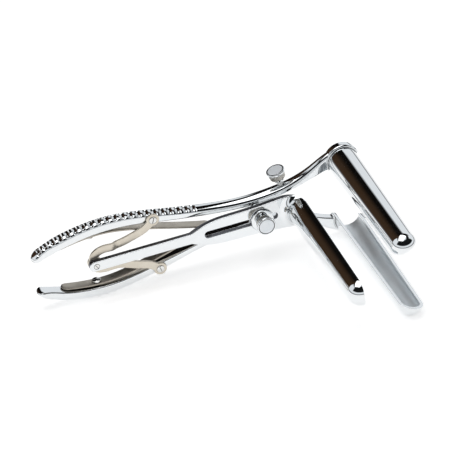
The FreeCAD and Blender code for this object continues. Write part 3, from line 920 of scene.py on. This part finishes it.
def make_hinge():
    """The hinge stud, the block that guides the bar's slot and the washer under the clamp knob."""
    top_of_lug = lug_rises["upper_lever"][1] + face_gap / 2
    collar_high = bar_low - face_gap / 2
    head_low = stud_bottom - stud_head_height
    profile = [(0, head_low), (stud_head_radius - 0.5, head_low), (stud_head_radius - 0.1, head_low + 0.2),
               (stud_head_radius, head_low + 0.55), (stud_head_radius, stud_bottom),
               (hinge_pin_radius, stud_bottom), (hinge_pin_radius, top_of_lug),
               (stud_collar_radius, top_of_lug), (stud_collar_radius, collar_high),
               (screw_radius + wall_gap, collar_high), (screw_radius + wall_gap, clamp_screw_low - 0.3),
               (0, clamp_screw_low - 0.3)]
    stud = turned("hinge_stud", (0, 0, 0), (0, 1, 0), profile, "frame", [turned_screw],
                  "pivot_stud")
    cut_away(stud, driver_cutter((0, head_low, 0), (0, -1, 0), stud_slot_width, stud_slot_depth,
                                 cut_reach, 0))
    width = slot_width - 2 * guide_gap
    radius = width / 2
    reach = guide_length / 2 - radius
    outline = np.vstack([arc((-reach, 0), radius, 90, 270, 20), arc((reach, 0), radius, -90, 90, 20)])
    bore = arc((0, 0), screw_radius + wall_gap, 0, 360, 32)[:-1]
    plate("slot_guide", [outline, bore], (collar_high, washer_low), 0.12, "frame", [turned_screw],
          "guide_block")
    high = washer_low + washer_height
    profile = [(screw_radius + wall_gap, washer_low), (washer_radius - 0.15, washer_low),
               (washer_radius, washer_low + 0.15), (washer_radius, high - 0.5),
               (washer_radius - 0.12, high - 0.2), (washer_radius - 0.5, high),
               (screw_radius + wall_gap, high)]
    turned("clamp_ring", (0, 0, 0), (0, 1, 0), profile, "frame", [mirror_steel],
           "clamp_washer", steps=96, hollow=True)


def knurl(low, high):
    """How far the crossed knurling takes each point of a knob's side inward."""
    count = round(2 * math.pi * knob_radius / knurl_pitch)

    def change(angle, radius, height):
        if not low < height < high:
            return 0.0
        turn = angle * count / (2 * math.pi)
        climb = height / knurl_pitch
        one = abs((turn + climb) % 1.0 - 0.5) * 2
        two = abs((turn - climb) % 1.0 - 0.5) * 2
        return -knurl_depth * max(1 - one, 1 - two) if radius > screw_radius + 1 else 0.0
    return change


def knob_profile(neck):
    """A knob from its seat up: neck, knurled waist, a wider polished rim, and a flat dished top."""
    top = neck + knob_height
    rim = top - knob_rim_height
    profile = [(screw_radius + wall_gap, 0.0), (knob_neck_radius - 0.2, 0.0), (knob_neck_radius, 0.2),
               (knob_neck_radius, neck - 0.25), (knob_neck_radius + 0.25, neck),
               (knob_waist_radius - 0.5, neck), (knob_waist_radius, neck + 0.4)]
    segments = [1, 1, 1, 1, 1, 1, 2]
    for t in np.linspace(0, 1, 25)[1:]:
        bulge = (knob_radius - 0.25 - knob_waist_radius) * t ** 1.3
        profile.append((knob_waist_radius + bulge, neck + 0.4 + (rim - neck - 0.4) * t))
        segments.append(2)
    profile += [(knob_radius - 0.1, rim + 0.08), (knob_radius, rim + 0.3), (knob_radius, top - 0.55),
                (knob_radius - 0.12, top - 0.25), (knob_radius - 0.42, top), (knob_radius - 0.8, top - 0.02),
                (knob_radius - 0.86, top - 0.45), (knob_radius - 1.2, top - 0.45),
                (knob_radius - 1.26, top - 0.08), (0.0, top - 0.08)]
    segments[-1] = 1
    segments += [1, 1, 1, 1, 1, 3, 3, 3, 0]
    bored = top - knob_cap
    profile = [(0.0, bored), (screw_radius + wall_gap, bored)] + profile
    segments = [1, 1] + segments
    return profile, segments, (neck + 0.4, rim)


def make_knob(name, node, base, direction, neck):
    """A knurled knob on its screw's axis, from its seat up."""
    profile, segments, band = knob_profile(neck)
    # The ring groove in the knob's top gets the near black painted shade.
    turned(name, base, direction, profile, node, [blasted_face, mirror_steel, knurled_side, groove_painted_shade],
           node, steps=440, segments=segments, radius_change=knurl(*band))


stop_way = np.array([-math.sin(stop_lean), 0.0, math.cos(stop_lean)])


def stop_spot(depth):
    """A point on the stop screw's axis, at a depth under its knob's face."""
    return np.array(stop_face) - stop_way * depth


def thread_change(low, high):
    """How far a screw's thread, between two heights, takes each point of the rod inward."""
    def change(angle, radius, height):
        if not low < height < high or radius < 0.5:
            return 0.0
        turn = (height / thread_pitch - angle / (2 * math.pi)) % 1.0
        return -thread_depth * abs(turn - 0.5) * 2
    return change


def make_screw(name, node, base, direction, runs, thread):
    """A threaded rod: runs are (radius, start, end) from the tip up."""
    profile = [(0.0, runs[0][1])]
    for radius, low, high in runs:
        for height in np.arange(low, high, 0.1):
            chamfer = 0.35 if height < runs[0][1] + 0.3 else 0.0
            profile.append((radius - chamfer, height))
        profile.append((radius, high))
    profile.append((0.0, runs[-1][2]))
    turned(name, base, direction, profile, node, [turned_screw], node, steps=48,
           radius_change=thread_change(*thread))


def make_knobs():
    """The clamp knob and the stop knob, each with its threaded screw."""
    seat = washer_low + washer_height + face_gap
    make_knob("clamp_thumb_knob", "clamp_knob", (0, seat, 0), (0, 1, 0), clamp_neck)
    top = seat + clamp_neck + knob_height - knob_cap - face_gap
    make_screw("clamp_threaded_rod", "clamp_screw", (0, 0, 0), (0, 1, 0),
               [(screw_radius, clamp_screw_low, top)], (clamp_screw_low, washer_low))
    seat_depth = knob_height + stop_neck
    make_knob("stop_thumb_knob", "stop_knob", tuple(stop_spot(seat_depth)), tuple(stop_way), stop_neck)
    thick = stop_reach - seat_depth - face_gap
    make_screw("stop_threaded_rod", "stop_screw", tuple(stop_spot(stop_reach)), tuple(stop_way),
               [(stop_screw_radius, 0.0, thick), (screw_radius, thick, stop_reach - knob_cap - face_gap)],
               (0.3, thick - 0.2))


def make_floor():
    """A plain pale floor that keeps the instrument's shadow."""
    low = min(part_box(node)[0][2] for node in frame["nodes"])
    reach = 3.0
    mesh = bpy.data.meshes.new("floor")
    mesh.from_pydata([(-reach, -reach, low), (reach, -reach, low), (reach, reach, low), (-reach, reach, low)],
                     [], [(0, 1, 2, 3)])
    floor = bpy.data.objects.new("floor", mesh)
    bpy.context.scene.collection.objects.link(floor)
    material = bpy.data.materials.new("paper_floor")
    material.use_nodes = True
    tree = material.node_tree
    shader = tree.nodes["Principled BSDF"]
    shader.inputs["Roughness"].default_value = 0.9
    shader.inputs["Specular IOR Level"].default_value = 0.0
    shader.inputs["Base Color"].default_value = linear("#f6f6f6")
    rays = add(tree, "ShaderNodeLightPath")
    seen = add(tree, "ShaderNodeMath", {0: rays.outputs["Is Camera Ray"], 1: rays.outputs["Is Glossy Ray"]},
               operation="MAXIMUM")
    glow = add(tree, "ShaderNodeMath", {0: seen.outputs[0], 1: 0.47}, operation="MULTIPLY")
    tree.links.new(glow.outputs[0], shader.inputs["Emission Strength"])
    shader.inputs["Emission Color"].default_value = linear("#ffffff")
    mesh.materials.append(material)


def make_world():
    """White all round, with the dark shapes that polished metal mirrors: a wide panel behind the
    table, a dark ceiling round the softbox and a skirting round the room."""
    world = bpy.data.worlds.new("studio")
    bpy.context.scene.world = world
    world.use_nodes = True
    tree = world.node_tree
    background = tree.nodes["Background"]

    def math_of(operation, one, two):
        return add(tree, "ShaderNodeMath", {0: one, 1: two}, operation=operation).outputs[0]

    def mixed(share, one, two):
        return add(tree, "ShaderNodeMixRGB", {"Fac": share, "Color1": one, "Color2": two}).outputs["Color"]

    def eased(value, start, end):
        """0 before the start, 1 after the end, and smooth between them."""
        return add(tree, "ShaderNodeMapRange", {"Value": value, "From Min": start, "From Max": end},
                   interpolation_type="SMOOTHSTEP").outputs["Result"]

    def between(value, low, high, soft):
        """1 inside a range of degrees, falling to 0 over a soft edge."""
        low, high, soft = (math.radians(v) for v in (low, high, soft))
        return math_of("MULTIPLY", eased(value, low - soft, low + soft),
                       eased(value, high + soft, high - soft))

    way = add(tree, "ShaderNodeTexCoord").outputs["Generated"]
    parts = add(tree, "ShaderNodeSeparateXYZ", {"Vector": way}).outputs
    azimuth = math_of("ARCTAN2", parts["X"], parts["Y"])
    height = add(tree, "ShaderNodeMath", {0: parts["Z"]}, operation="ARCSINE").outputs[0]
    waver = add(tree, "ShaderNodeTexNoise", {"Vector": way, "Scale": 4.0, "Detail": 2.0})
    sway = add(tree, "ShaderNodeMapRange", {"Value": waver.outputs["Fac"],
                                            "To Min": math.radians(-panel_sway),
                                            "To Max": math.radians(panel_sway)})
    side = math_of("ADD", azimuth, sway.outputs["Result"])
    low_panel = math_of("MULTIPLY", between(side, *low_panel_side), between(height, *low_panel_height))
    high_panel = math_of("MULTIPLY", between(side, *high_panel_side), between(height, *high_panel_height))
    panel = math_of("MAXIMUM", low_panel, high_panel)
    fade = eased(side, *(math.radians(v) for v in panel_fade))
    panel_colour = mixed(fade, linear("#3d2d20"), linear("#0c0a09"))
    behind = eased(parts["Y"], -0.02, -0.12)
    near_wall = math_of("MULTIPLY", between(height, *near_wall_height), behind)
    ceiling = math_of("MAXIMUM", between(height, *ceiling_height), near_wall)
    skirting = math_of("MULTIPLY", between(height, *skirting_height), skirting_share)
    walls = mixed(math_of("MAXIMUM", ceiling, skirting), linear("#f1f4f7"), linear("#161718"))
    rays = add(tree, "ShaderNodeLightPath").outputs
    room = mixed(rays["Is Glossy Ray"], linear("#ffffff"), mixed(panel, walls, panel_colour))
    light = add(tree, "ShaderNodeMapRange", {"Value": rays["Is Diffuse Ray"], "To Min": 1.0, "To Max": 0.3})
    tree.links.new(room, background.inputs["Color"])
    tree.links.new(light.outputs["Result"], background.inputs["Strength"])


def make_lamp(name, place, aim, size, power, mirrored):
    """A soft box of light; mirrored says whether polished metal shows it."""
    lamp = bpy.data.lights.new(name, "AREA")
    lamp.shape = "RECTANGLE"
    lamp.size, lamp.size_y = size
    lamp.energy = power
    obj = bpy.data.objects.new(name, lamp)
    obj.location = place
    obj.rotation_euler = (Vector(aim) - Vector(place)).to_track_quat("-Z", "Y").to_euler()
    obj.visible_glossy = mirrored
    bpy.context.scene.collection.objects.link(obj)


def make_camera():
    """A far camera with a long lens, turned and rolled as the photographer held it."""
    azimuth = math.radians(-14.84)
    elevation = math.radians(30.68)
    roll = math.radians(-6.4)
    distance = 2.0
    seen_width = 0.2782
    aim = Vector(hinge_place) + Vector((-0.02085, 0.0031, -0.00397))
    sensor = 36.0
    back = Vector((math.sin(azimuth) * math.cos(elevation), -math.cos(azimuth) * math.cos(elevation),
                   math.sin(elevation)))
    level = Vector((math.cos(azimuth), math.sin(azimuth), 0.0))
    up = back.cross(level)
    right = level * math.cos(roll) + up * math.sin(roll)
    camera = bpy.data.cameras.new("camera")
    camera.sensor_width = sensor
    camera.lens = sensor * distance / seen_width
    camera.clip_start = 0.01
    camera.clip_end = 20.0
    obj = bpy.data.objects.new("camera", camera)
    turn = Matrix((right, back.cross(right), back)).transposed()
    obj.matrix_world = Matrix.Translation(aim + back * distance) @ turn.to_4x4()
    bpy.context.scene.collection.objects.link(obj)
    bpy.context.scene.camera = obj


make_lever("upper_lever", 1)
make_lever("lower_lever", -1)
make_lever_blade("upper_blade", 1)
make_lever_blade("lower_blade", -1)
make_bar()
make_link("upper", 1)
make_link("lower", -1)
for body, side in [("upper", 1), ("lower", -1)]:
    make_link_screw(body, side)
    make_spring(body, side)
make_hinge()
make_knobs()
make_floor()
make_world()
make_lamp("overhead_softbox", (-0.1, 0.1, 1.3), (0.0, 0.0, 0.0), (1.4, 1.0), 7.5, True)
make_lamp("front_softbox", (-0.9, -1.1, 0.9), (0.0, -0.03, 0.0), (0.9, 0.9), 2.0, False)
make_camera()
bpy.context.scene.view_settings.view_transform = "Standard"
